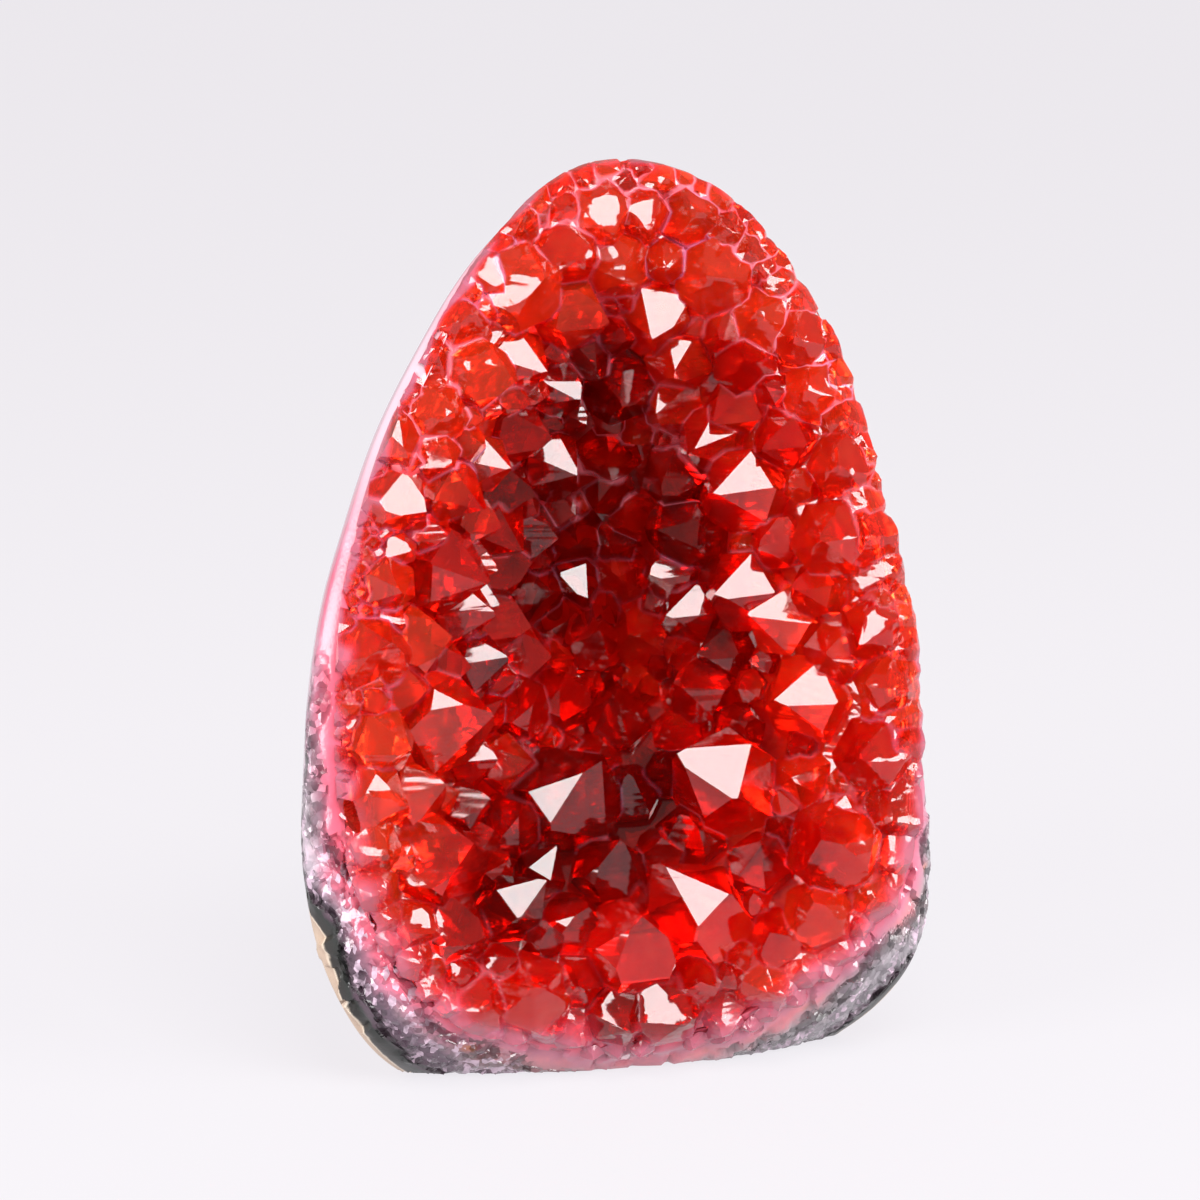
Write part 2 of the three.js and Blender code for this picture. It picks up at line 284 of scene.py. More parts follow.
# Small crystals along the margins: a radius, how many places are tried, a lift, how near they
# crowd, how far inside the mouth they reach, and from which angle to which
MARGINS = [
    (4.2, 500, 1.4, 0.44, 3, -22, 116),
    (2.6, 900, 1.2, 0.42, 2, -22, 116),
    (1.6, 3500, 0.6, 0.5, 4.5, 125, 212),
    (3.0, 2500, 0.6, 0.5, 4, 206, 338),
]
MARGIN_INSET = 0.55
# How far from the mouth the filling keeps: more at the left, where the crystals are small
FILLING_CLEAR = 0.5
FILLING_CLEAR_LEFT = 3.5
LEFT_MIDDLE = 175


class Draws:
    """Repeatable random numbers from 0 to 1, by the sum that the CAD model's crystals use."""

    state = 20260

    def __call__(self):
        self.state = (self.state * 1664525 + 1013904223) % 2**32
        return self.state / 2**32


draw = Draws()


def bed_normal(x, z):
    across_x = (bed_y(x + 1, z) - bed_y(x - 1, z)) / 2
    across_z = (bed_y(x, z + 1) - bed_y(x, z - 1)) / 2
    return Vector((across_x, -1, across_z)).normalized()


def front_limit(x, z):
    """How far forward a tip may reach: level with the rim at the edge, well past it inside."""
    angle, radius = polar(x, z)
    share = min(1, radius / window_radius(angle))
    covered = smoothstep(around(CRYSTAL_REACH, angle), -0.8, 0.2)
    at_edge = PROUD_AT_EDGE + PROUD_ON_COVERED * covered
    return face_y(z) - at_edge - PROUD_INSIDE * (1 - share**2)


def planned(x, z, radius, large, lit, lift=FILL_LIFT):
    """A crystal's foot, axis, the direction of its first face, and its height and faces."""
    draws = [draw() for _ in range(10)]
    minor = MINOR_FACE_OFFSET * draws[2]
    normal = bed_normal(x, z)
    if lit:
        side = (normal - LIT_DIRECTION * normal.dot(LIT_DIRECTION)).normalized()
        axis = LIT_DIRECTION * math.cos(FACE_TILT) + side * math.sin(FACE_TILT)
        side = (LIT_DIRECTION - axis * LIT_DIRECTION.dot(axis)).normalized()
    else:
        lean = LEAN_MOST * draws[0]
        first = Vector((0, 0, 1)).cross(normal).normalized()
        second = normal.cross(first)
        turn = 2 * math.pi * draws[1]
        across = first * math.cos(turn) + second * math.sin(turn)
        axis = normal * math.cos(lean) + across * math.sin(lean)
        side = (first - axis * first.dot(axis)).normalized()
        side = Matrix.Rotation(math.pi / 3 * draws[2], 3, axis) @ side
    point_height = radius * math.cos(math.pi / 6) * math.tan(FACE_TILT)
    height = point_height * (1.15 + 0.25 * draws[3] if large else 0.8 + 0.3 * draws[3])
    if not large:
        height += lift
    angle, from_middle = polar(x, z)
    on_rim = from_middle > mouth_radius(angle)
    foot = Vector((x, face_y(z) + 0.5 if on_rim else bed_y(x, z) - BED, z))
    tip = foot + axis * height
    foot.y += max(0, front_limit(tip.x, tip.z) - tip.y)
    offsets = [FACE_OFFSET * (d - 0.5) + minor * (k % 2) for k, d in enumerate(draws[4:])]
    offsets[0] += LIT_FACE_OFFSET * lit
    return {
        "foot": foot,
        "axis": axis,
        "side": side,
        "radius": radius,
        "height": height,
        "offsets": [radius * offset for offset in offsets],
    }


def face_planes(crystal):
    """The six sloping faces of a crystal's point, each as a place and a normal."""
    axis, side = crystal["axis"], crystal["side"]
    tip = crystal["foot"] + axis * crystal["height"]
    planes = []
    for k, offset in enumerate(crystal["offsets"]):
        outward = Matrix.Rotation(k * math.pi / 3, 3, axis) @ side
        normal = outward * math.sin(FACE_TILT) + axis * math.cos(FACE_TILT)
        planes.append((tip + axis * offset, normal))
    return planes


def all_planes(crystal):
    """The normals of its six sloping and six upright faces, and their distances."""
    planes = face_planes(crystal)
    for k in range(6):
        outward = Matrix.Rotation(k * math.pi / 3, 3, crystal["axis"]) @ crystal["side"]
        place = crystal["foot"] + outward * (crystal["radius"] * math.cos(math.pi / 6))
        planes.append((place, outward))
    normals = np.array([normal for _, normal in planes])
    return normals, np.array([normal.dot(place) for place, normal in planes])


def filling_clear(angle):
    apart = abs(math.degrees(angle) % 360 - LEFT_MIDDLE)
    return FILLING_CLEAR + FILLING_CLEAR_LEFT * (1 - smoothstep(apart, 25, 45))


def candidates():
    """The places that are tried, each with a radius, a lift and how near it may crowd."""
    for size, tries in FILLING:
        for _ in range(tries):
            angle = 2 * math.pi * draw()
            share = math.sqrt(draw())
            radius = size * (0.88 + 0.24 * draw())
            x, z = on_face(share * (mouth_radius(angle) - filling_clear(angle)), angle)
            yield x, z, radius, FILL_LIFT, CROWDING
    for size, tries, lift, crowding, inside, first, last in MARGINS:
        for _ in range(tries):
            angle = math.radians(first + (last - first) * draw())
            radius = size * (0.7 + 0.6 * draw())
            outermost = window_radius(angle) - MARGIN_INSET * radius
            innermost = mouth_radius(angle) - inside
            x, z = on_face(outermost + (innermost - outermost) * draw(), angle)
            yield x, z, radius, lift, crowding


def placed_crystals():
    placed = [planned(x, z, radius, True, lit) for x, z, radius, lit in LARGE_CRYSTALS]
    feet = np.array([(made["foot"].x, made["foot"].z) for made in placed])
    radii = np.array([made["radius"] for made in placed])
    normals = np.array([all_planes(made)[0] for made in placed])
    offsets = np.array([all_planes(made)[1] for made in placed])
    for x, z, radius, lift, crowding in candidates():
        apart = np.hypot(feet[:, 0] - x, feet[:, 1] - z)
        if (apart < crowding * (radii + radius)).any():
            continue
        made = planned(x, z, radius, False, False, lift)
        tip = np.array(made["foot"] + made["axis"] * made["height"])
        outside = (normals @ tip - offsets).max(axis=1)
        if (outside < LEAST_PROUD * radius).any():
            continue
        own_normals, own_offsets = all_planes(made)
        placed.append(made)
        feet = np.vstack([feet, (x, z)])
        radii = np.append(radii, radius)
        normals = np.concatenate([normals, own_normals[None]])
        offsets = np.vstack([offsets, own_offsets])
    return placed


crystals = placed_crystals()
print(len(crystals), "crystals, of radii", round(min(c["radius"] for c in crystals), 1),
      "to", max(c["radius"] for c in crystals), "mm")

# %% [markdown]
# One crystal is a six-sided cone of equal radii, which is a prism, cut by six planes. After
# each bisect the cut's edges are filled with a face, so that it stays a closed solid.

# %% Cutting one crystal
ROOT = 8


def crystal_mesh(crystal):
    axis, side = crystal["axis"], crystal["side"]
    length = crystal["height"] + crystal["radius"] + ROOT
    turn = Matrix((side, axis.cross(side), axis)).transposed().to_4x4()
    bm = bmesh.new()
    bmesh.ops.create_cone(
        bm, cap_ends=True, segments=6, depth=length,
        radius1=crystal["radius"], radius2=crystal["radius"],
    )
    middle = crystal["foot"] + axis * (length / 2 - ROOT)
    bmesh.ops.transform(bm, matrix=Matrix.Translation(middle) @ turn, verts=bm.verts)
    for place, normal in face_planes(crystal):
        everything = bm.verts[:] + bm.edges[:] + bm.faces[:]
        cut = bmesh.ops.bisect_plane(
            bm, geom=everything, plane_co=place, plane_no=normal, clear_outer=True
        )
        edges = [e for e in cut["geom_cut"] if isinstance(e, bmesh.types.BMEdge)]
        if edges:
            bmesh.ops.contextual_create(bm, geom=edges)
    face_outwards(bm)
    return bm


points = bpy.data.collections.new("points")
workshop.children.link(points)
for crystal in crystals:
    mesh_object("point", crystal_mesh(crystal), points)

# %% [markdown]
# The crust is what is left of the hollow's room when the air in front of the crystals is
# taken away. The room stands off the wall by a tenth of a millimetre in the hollow and by a
# third on the rim, so that the two pieces never share a surface. The air is the same shape
# moved forward by the thickness of the quartz bed, with the crystals cut out of it.

# %% Growing the crust
SPOKES = 120
BOWL_RINGS = 18
CUT_FRONT_Y = -70
REACH = 8
CRUST_GAP = 0.1
RIM_GAP = 0.35


def opening_cut(inset):
    """The space of the hollow and in front of the open face, off the wall by an inset."""
    rim_inset = RIM_GAP if inset else 0

    def rim(share):
        def ring(angle):
            width = edge_radius(angle) - mouth_radius(angle)
            radius = mouth_radius(angle) + share * width - (0 if share else inset)
            x, z = on_face(radius, angle)
            return x, face_y(z) + BEVEL * width * share**2 - rim_inset, z

        return ring

    def past(angle):
        x, z = on_face(edge_radius(angle) + REACH, angle)
        return x, rim(1)(angle)[1] + 2 * BEVEL * REACH, z

    def front(angle):
        x, _, z = past(angle)
        return x, CUT_FRONT_Y, z

    def bowl(share):
        def ring(angle):
            x, z = on_face((mouth_radius(angle) - inset) * share, angle)
            return x, bed_y(*on_face(mouth_radius(angle) * share, angle)) - inset, z

        return ring

    rings = [lambda angle: (0, CUT_FRONT_Y, HOLLOW_Z), front, past, rim(1), rim(0.5), rim(0)]
    return rings + [bowl(i / BOWL_RINGS) for i in range(BOWL_RINGS, -1, -1)]


def column(radius):
    """A straight column through the open face."""

    def ring(share, y):
        return lambda angle: (lambda x, z: (x, y, z))(*on_face(share * radius(angle), angle))

    return shaped_ball(
        SPOKES, [ring(0, CUT_FRONT_Y), ring(1, CUT_FRONT_Y), ring(1, BACK_Y), ring(0, BACK_Y)]
    )


crust = mesh_object("red_crystal_crust", shaped_ball(SPOKES, opening_cut(CRUST_GAP)))
rim_air = mesh_object("rim_air", shaped_ball(SPOKES, opening_cut(CRUST_GAP)))
combine(rim_air, "DIFFERENCE",
        mesh_object("mouth", column(lambda angle: mouth_radius(angle) - CRUST_GAP)))
air = mesh_object("air", shaped_ball(SPOKES, opening_cut(0)))
air.data.transform(Matrix.Translation((0, -BED, 0)))
combine(air, "UNION", rim_air)
combine(air, "DIFFERENCE", points)
combine(crust, "DIFFERENCE", air)
combine(crust, "INTERSECT", mesh_object("window", column(window_radius)))
print("the crust has", len(crust.data.polygons), "faces")

# %% [markdown]
# The boolean leaves long thin faces, and the finish needs points to hold its values. So the
# crust is cut into small triangles. Flat faces stay flat, since every new point lies on one.
# Only the crystals at the margins are then rubbed a little round, as on the real stone.

# %% A finer mesh on the crust
LONGEST_EDGE = 1.6
WORN_FROM = 0.80
WORN_ROUNDS = 2
WORN_FACTOR = 0.4
SHARP_FROM = 130
SHARP_TO = 200


def largest_piece(bm):
    """Deletes all but the piece of a mesh that has the most faces."""
    left = set(bm.faces)
    pieces = []
    while left:
        piece = {left.pop()}
        border = list(piece)
        while border:
            near = {f for e in border.pop().edges for f in e.link_faces} - piece
            piece |= near
            border += near
        left -= piece
        pieces.append(piece)
    keep = max(pieces, key=len)
    bmesh.ops.delete(bm, geom=[f for f in bm.faces if f not in keep], context="FACES")
    return len(pieces)


def refine(bm, longest):
    bmesh.ops.triangulate(bm, faces=bm.faces)
    for _ in range(6):
        long_edges = [e for e in bm.edges if e.calc_length() > longest]
        if not long_edges:
            break
        bmesh.ops.subdivide_edges(bm, edges=long_edges, cuts=1)
        bmesh.ops.triangulate(bm, faces=[f for f in bm.faces if len(f.verts) > 3])


def worn_share(place):
    """The crystals at every margin but the left one are rubbed round."""
    angle, radius = polar(place.x, place.z)
    share = radius / window_radius(angle)
    sharp_side = SHARP_FROM < math.degrees(angle) % 360 < SHARP_TO
    return 0 if sharp_side else share - WORN_FROM


bm = bmesh.new()
bm.from_mesh(crust.data)
found = largest_piece(bm)
bmesh.ops.dissolve_degenerate(bm, dist=0.02, edges=bm.edges)
refine(bm, LONGEST_EDGE)
worn = [vert for vert in bm.verts if worn_share(vert.co) > 0]
smooth(bm, worn, WORN_FACTOR, WORN_ROUNDS)
face_outwards(bm)
bm.to_mesh(crust.data)
bm.free()
print("largest of", found, "pieces kept, with", len(crust.data.polygons), "triangles")

# %% [markdown]
# Where two crystals meet, the photograph shows a pale line. A crystal is the inside of
# twelve planes, so the farthest of them tells how far a place is outside that crystal. On
# the crust's surface the nearest crystal gives nought, and the next one gives the distance
# to the seam. The nearest one also tells which crystal a place is on, for a tone of its own.

# %% Which crystal, and how far from its seam
NEIGHBOURS = 12


def crystal_distances(places):
    """For each place, the nearest crystal and how far outside the nearest two it is."""
    normals = np.array([all_planes(crystal)[0] for crystal in crystals])
    offsets = np.array([all_planes(crystal)[1] for crystal in crystals])
    tree = KDTree(len(crystals))
    for i, crystal in enumerate(crystals):
        tree.insert(crystal["foot"] + crystal["axis"] * crystal["height"] / 2, i)
    tree.balance()
    near = np.array([[i for _, i, _ in tree.find_n(p, NEIGHBOURS)] for p in places])
    owner = np.zeros(len(places), int)
    first = np.zeros(len(places))
    second = np.zeros(len(places))
    for start in range(0, len(places), 4096):
        part = slice(start, start + 4096)
        ids = near[part]
        outside = np.einsum("nkpc,nc->nkp", normals[ids], places[part]) - offsets[ids]
        outside = outside.max(axis=2)
        order = np.argsort(outside, axis=1)
        rows = np.arange(len(ids))
        owner[part] = ids[rows, order[:, 0]]
        first[part] = outside[rows, order[:, 0]]
        second[part] = outside[rows, order[:, 1]]
    return owner, first, second


def vertex_places(data):
    places = np.zeros(len(data.vertices) * 3)
    data.vertices.foreach_get("co", places)
    return places.reshape(-1, 3)


def add_attribute(data, name, values, domain="POINT"):
    layer = data.attributes.new(name, "FLOAT", domain)
    layer.data.foreach_set("value", np.asarray(values, np.float32))


places = vertex_places(crust.data)
_, nearest, second = crystal_distances(places)
seam = second - np.minimum(nearest, 0)
centres = np.array([polygon.center for polygon in crust.data.polygons])
owner, _, _ = crystal_distances(centres)
tones = np.random.default_rng(7).random(len(crystals))
add_attribute(crust.data, "tone", tones[owner], "FACE")
print("seams within", round(float(np.median(seam)), 2), "mm of half of the crust")

# %% [markdown]
# The stain varies in broad clouds. The red is richest at the top and the sides, and darker in
# the deep and low down, which is painted shade. Seams show best on the outer and upper
# crystals, and the milky quartz of the rim reaches some way into the crust, most of all at
# the bottom. All of these change slowly, so they are worked out here for each point of the
# mesh, and the finish only reads them. Distances are in millimetres, and the other numbers
# were found on test renders.

# %% How the crust changes from place to place
# How far into the crust the milky quartz shows, every 30 degrees
MILK_WIDTHS = [-1.5, -1.5, -2, -1.5, 0, 0.3, 1.5, 5.5, 6.5, 5, 6.5, 3]


def fade(values, low, high):
    """0 where values are under low and 1 where they are over high, for many at once."""
    t = np.clip((values - low) / (high - low), 0, 1)
    return t * t * (3 - 2 * t)


def clouds(places, size):
    """Clouds of about a size in millimetres, from 0 to 1."""
    return np.array([0.5 + 0.5 * noise.noise(Vector(p) / size) for p in places])


def by_angle(function, places):
    """A function of the angle around the hollow, for many places at once."""
    degrees = np.degrees(np.arctan2(places[:, 2] - HOLLOW_Z, places[:, 0]))
    table = [function(math.radians(a)) for a in range(-180, 181)]
    return np.interp(degrees, np.arange(-180, 181), table)


from_middle = np.hypot(places[:, 0], places[:, 2] - HOLLOW_Z)
inward = by_angle(mouth_radius, places) - from_middle
outer = 1 - fade(inward, 2, 16)
high = fade(places[:, 2], 60, 90)
# 1 low down, where the red is darkened as painted shade
low = 1 - fade(places[:, 2], 8, 50)
pale = fade(clouds(places, 25), 0.42, 0.62)
strong = (pale * 0.5 + outer * 0.35) * (high * 0.6 + 0.4) + high * 0.2
seam_width = np.maximum(0.15, clouds(places + 40, 7) * 1.1)
milk_widths = by_angle(lambda angle: around(MILK_WIDTHS, angle), places)
milk = (milk_widths - inward + 5 * (clouds(places, 5) - 0.5)) / (np.abs(milk_widths) + 1.5)
add_attribute(crust.data, "seam", np.clip(seam / seam_width, 0, 5))
add_attribute(crust.data, "seam_strength", strong)
add_attribute(crust.data, "lilac", fade(clouds(places + 80, 14), 0.52, 0.7))
add_attribute(crust.data, "milk", np.clip(milk, 0, 1))
# Broad clouds of stain, less painted shade that darkens the deep and the low crystals
richness = clouds(places, 18) * 0.6 + 0.08 - fade(inward, 4, 28) * 0.6 - low * 0.38
add_attribute(crust.data, "richness", richness)
print("milky quartz over", round(100 * float((milk > 0.5).mean())), "% of the crust's points")

# %% [markdown]
# The crust is moved from the hollow's middle into the frame, and from millimetres to metres,
# in its mesh, so that its object stays at the origin. Its edges are sharp from 12 degrees on,
# which keeps every crystal face flat.

# %% Into the frame
crust.data.transform(TO_FRAME)
crust.data.set_sharp_from_angle(angle=math.radians(12))

# %% [markdown]
# The wall is one closed skin: from the middle of the back over the sides to the edge, across
# the rim, down the step behind the crystals and into the bowl. One ball moved onto that path
# gives an even mesh with no boolean, so the rim can carry fine relief. The edge lies where
# the bevelled rim meets the side.

# %% The wall's path from back to bowl
WALL_SPOKES = 640
SIDE_RINGS = 46
RIM_RINGS = 26
STEP_RINGS = 3
INNER_RINGS = 10


def side_point(angle, back):
    """A place on the nodule's side, from 0 at the face to 1 at the middle of the back."""
    edge_x, edge_z = on_face(edge_radius(angle), angle)
    turn = math.asin(min(1, back**SIDE_STRAIGHTNESS))
    share = max(0, math.cos(turn)) ** BACK_ROUNDNESS
    middle_z = HOLLOW_Z + back * (BACK_Z - HOLLOW_Z)
    y = face_y(edge_z) + back * (BACK_Y - face_y(edge_z))
    return Vector((share * edge_x, y, middle_z + share * (edge_z - HOLLOW_Z)))


def edge_back(angle):
    """How far back the bevelled rim meets the side."""
    _, edge_z = on_face(edge_radius(angle), angle)
    return BEVEL * around(RIM_WIDTHS, angle) / (BACK_Y - face_y(edge_z))


def side_ring(share):
    def ring(angle):
        start = math.asin(edge_back(angle) ** SIDE_STRAIGHTNESS)
        turn = start + (math.pi / 2 - start) * share
        return side_point(angle, math.sin(turn) ** (1 / SIDE_STRAIGHTNESS))

    return ring


def rim_ring(share):
    def ring(angle):
        edge = side_point(angle, edge_back(angle))
        x, z = on_face(mouth_radius(angle), angle)
        x += share * (edge.x - x)
        z += share * (edge.z - z)
        return x, face_y(z) + (edge.y - face_y(edge.z)) * share**2, z

    return ring


def step_ring(share):
    def ring(angle):
        x, z = on_face(mouth_radius(angle), angle)
        return x, face_y(z) + MOUTH_STEP * share, z

    return ring


def inner_ring(share):
    def ring(angle):
        x, z = on_face(mouth_radius(angle) * share, angle)
        return x, bed_y(x, z), z

    return ring


def shares(count, last=0):
    """Even steps from just under 1 down to a last value."""
    return [1 - (1 - last) * i / count for i in range(1, count + 1)]


wall_rings = [lambda angle: (0, BACK_Y, BACK_Z)]
wall_rings += [side_ring(share) for share in shares(SIDE_RINGS)]
wall_rings += [rim_ring(share) for share in shares(RIM_RINGS)]
wall_rings += [step_ring(1 - share) for share in shares(STEP_RINGS)]
wall_rings += [inner_ring(share) for share in shares(INNER_RINGS)]
wall = shaped_ball(WALL_SPOKES, wall_rings)
print("the wall starts with", len(wall.faces), "faces")

# %% [markdown]
# Geodes are layered like an onion: a cream skin, a band that is nearly black, sparkling
# druse, grey agate, and then milky quartz beside the crystals. Grinding the outside has cut
# deeper into them in some places than in others. So each point of the mesh keeps its depth
# under the first skin as a number, and the finish turns depth into colour.

# %% How deep each place lies
GROUND_OFF = 9.5
GROUND_SWAY = 2.5
GROUND_AT_RIGHT = 17
GROUND_LOW = 0.1
LOW_BEHIND = 0.5
# Between which angles the rim is left unground, and how high the back is
BARE_FROM = math.radians(219)
BARE_TO = math.radians(308)
BARE_FADE_IN = 0.3
BARE_FADE_OUT = 0.25
BARE_BEHIND_BELOW = 26
BARE_BEHIND_TO = 34


def how_far_back(place):
    """0 at the open face and 1 at the middle of the back."""
    face = face_y(place.z)
    return min(1, max(0, (place.y - face) / (BACK_Y - face)))


def ground_depth(angle, back, z):
    """Stone ground off the outside: much at the top and sides, next to none at the toe."""
    turn = angle % (2 * math.pi)
    bare = smoothstep(turn, BARE_FROM - BARE_FADE_IN, BARE_FROM)
    bare *= 1 - smoothstep(turn, BARE_TO, BARE_TO + BARE_FADE_OUT)
    across = Vector((3 * math.cos(turn), 3 * math.sin(turn), 4 * back))
    wavy = z + 5 * noise.noise(across)
    bare_behind = 1 - smoothstep(wavy, BARE_BEHIND_BELOW, BARE_BEHIND_TO)
    bare += smoothstep(back, 0.1, 0.5) * (bare_behind - bare)
    right = 1 - smoothstep(turn, 1.6, 2.3) + smoothstep(turn, 5.7, 6.1)
    right *= (1 - min(1, 3 * back)) ** 2
    full = GROUND_OFF + GROUND_SWAY * noise.noise(across)
    full += right * (GROUND_AT_RIGHT - GROUND_OFF)
    low = GROUND_LOW + LOW_BEHIND * back
    return full + bare * (low - full)


def wall_depth(place):
    angle, radius = polar(place.x, place.z)
    back = how_far_back(place)
    edge = side_point(angle, edge_back(angle))
    from_edge = polar(edge.x, edge.z)[1] - radius
    on_rim = 1 - smoothstep(back, edge_back(angle), edge_back(angle) + 0.03)
    return ground_depth(angle, back, place.z) + on_rim * max(0, from_edge)


# %% [markdown]
# Grinding and years of wear have rounded the edge of the open face. Smoothing the points
# beside it a few times does so here. Each point keeps its depth from before, so the bands
# stay where they were.

# %% Rounding the edge
EDGE_BAND = 2.5
EDGE_ROUNDING = 6
EDGE_FACTOR = 0.5


def edge_distance(place):
    angle, _ = polar(place.x, place.z)
    return (place - side_point(angle, edge_back(angle))).length


depth_layer = wall.verts.layers.float.new("depth")
near_edge = []
for vert in wall.verts:
    vert[depth_layer] = wall_depth(vert.co)
    if edge_distance(vert.co) < EDGE_BAND:
        near_edge.append(vert)
smooth(wall, near_edge, EDGE_FACTOR, EDGE_ROUNDING)
print(len(near_edge), "points rounded along the edge")

# %% [markdown]
# Low on the rim the cut runs through druse, a mass of broken crystals a millimetre or two
# across. Each cell of a Voronoi pattern there slopes its own way, which gives it facets that
# flash one by one. Nearer the crystals it is broken milky quartz, in larger cells. The relief
# is small, so it is moved into the mesh along the normals. Each point also keeps how far out
# from the mouth it lies, and a high number behind the edge, for the pink beside the crystals.

# %% Druse on the rim
DRUSE_CELL = 1.9
DRUSE_RELIEF = 1.5
BROKEN_CELL = 4.2
BROKEN_RELIEF = 2.2
HIGHEST_FACET = 0.15
HALF = Vector((0.5, 0.5, 0.5))
BEHIND_CRYSTALS = 90


def on_cut_face(place):
    """1 on the cut face, and down to 0 along a ragged line a little way round its edge."""
    edge = edge_back(polar(place.x, place.z)[0])
    ragged = how_far_back(place) + 0.05 * noise.noise(place / 5)
    return 1 - smoothstep(ragged, edge, edge + 0.07)


def druse_share(place, depth):
    """Where the cut face is broken crystal and not polished stone."""
    turn = polar(place.x, place.z)[0] % (2 * math.pi)
    low = smoothstep(turn, 3.0, 3.5) * (1 - smoothstep(turn, 5.6, 6.0))
    wavy = depth + 1.6 * noise.noise(place / 6)
    return on_cut_face(place) * low * smoothstep(wavy, 3.2, 4.2) * (1 - smoothstep(wavy, 9, 12))


def broken_share(place, outward):
    """Where the cut face is broken milky quartz: low down, beside the crystals."""
    turn = polar(place.x, place.z)[0] % (2 * math.pi)
    low = smoothstep(turn, 3.3, 3.8) * (1 - smoothstep(turn, 5.7, 6.1))
    beside = smoothstep(outward, 0, 1) * (1 - smoothstep(outward, 9, 12))
    return on_cut_face(place) * low * beside


def facet_height(place, size):
    """The height of a cell that slopes its own way, with its highest side worn off."""
    cell = noise.voronoi(place / size)[1][0]
    slope = noise.cell_vector(cell * 97) - HALF
    return min(HIGHEST_FACET, (place / size - cell).dot(slope))


druse_layer = wall.verts.layers.float.new("druse")
outward_layer = wall.verts.layers.float.new("outward")
wall.normal_update()
moves = []
for vert in wall.verts:
    share = druse_share(vert.co, vert[depth_layer])
    angle, radius = polar(vert.co.x, vert.co.z)
    outward = radius - mouth_radius(angle)
    behind = vert.co.y - bed_y(vert.co.x, vert.co.z)
    outward += BEHIND_CRYSTALS * smoothstep(behind, 1, 6)
    vert[druse_layer] = share
    vert[outward_layer] = outward
    broken = broken_share(vert.co, outward) * (1 - share)
    if share + broken > 0:
        height = share * DRUSE_RELIEF * facet_height(vert.co, DRUSE_CELL)
        height += broken * BROKEN_RELIEF * facet_height(vert.co, BROKEN_CELL)
        moves.append((vert, vert.normal * height))
for vert, move in moves:
    vert.co += move
print(len(moves), "points moved into facets")

# %% [markdown]
# The foot is sawn off flat. The cut's edges are filled with one face, whose border is bevelled a
# little, since a sawn edge of agate chips. It carries the same depth values, so the bands show
# on the sawn face as they do on the rim.

# %% The sawn foot
FOOT_ROUNDING = 0.5
cut = bmesh.ops.bisect_plane(
    wall, geom=wall.verts[:] + wall.edges[:] + wall.faces[:],
    plane_co=(0, 0, 0), plane_no=(0, 0, -1), clear_outer=True,
)
foot_edges = [e for e in cut["geom_cut"] if isinstance(e, bmesh.types.BMEdge)]
foot = bmesh.ops.contextual_create(wall, geom=foot_edges)["faces"]
bmesh.ops.inset_region(wall, faces=foot, thickness=FOOT_ROUNDING)
for vert in {v for e in foot_edges for v in e.verts}:
    vert.co.z += FOOT_ROUNDING
face_outwards(wall)
shell = mesh_object("geode_wall", wall)
shell.data.transform(TO_FRAME)
shell.data.set_sharp_from_angle(angle=math.radians(40))
print("the wall has", len(shell.data.polygons), "faces")

# %% [markdown]
# Each piece takes the place of its plain solid in the frame, and rides on the frame's one
# body. The collections that held the parts of the booleans are no longer needed.

# %% The two pieces in the scene
for piece in (crust, shell):
    workshop.objects.unlink(piece)
    bpy.context.scene.collection.objects.link(piece)
for made in list(workshop.all_objects):
    bpy.data.objects.remove(made)
bpy.data.collections.remove(points)
bpy.data.collections.remove(workshop)
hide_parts("crystal_crust")
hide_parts("geode_shell")
for piece in (crust, shell):
    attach(piece, "root")

# %% [markdown]
# Finishes are written as sums. `Value` wraps a number that varies over the surface, so that
# `1 - seam * 3` adds its own Math nodes. Everything else comes from `Finish.node`, which takes
# a node's type, its settings and what goes into its sockets.

# %% A small language for finishes
class Value:
    def __init__(self, finish, socket):
        self.finish = finish
        self.socket = socket

    def math(self, operation, first, second, clamp=False):
        settings = {"operation": operation, "use_clamp": clamp}
        return self.finish.node("ShaderNodeMath", settings, {0: first, 1: second})

    def __add__(self, other):
        return self.math("ADD", self, other)

    def __radd__(self, other):
        return self.math("ADD", other, self)

    def __sub__(self, other):
        return self.math("SUBTRACT", self, other)

    def __rsub__(self, other):
        return self.math("SUBTRACT", other, self)

    def __mul__(self, other):
        return self.math("MULTIPLY", self, other)

    def __rmul__(self, other):
        return self.math("MULTIPLY", other, self)

    def __truediv__(self, other):
        return self.math("DIVIDE", self, other)

    def clamped(self):
        return self.math("ADD", self, 0.0, clamp=True)


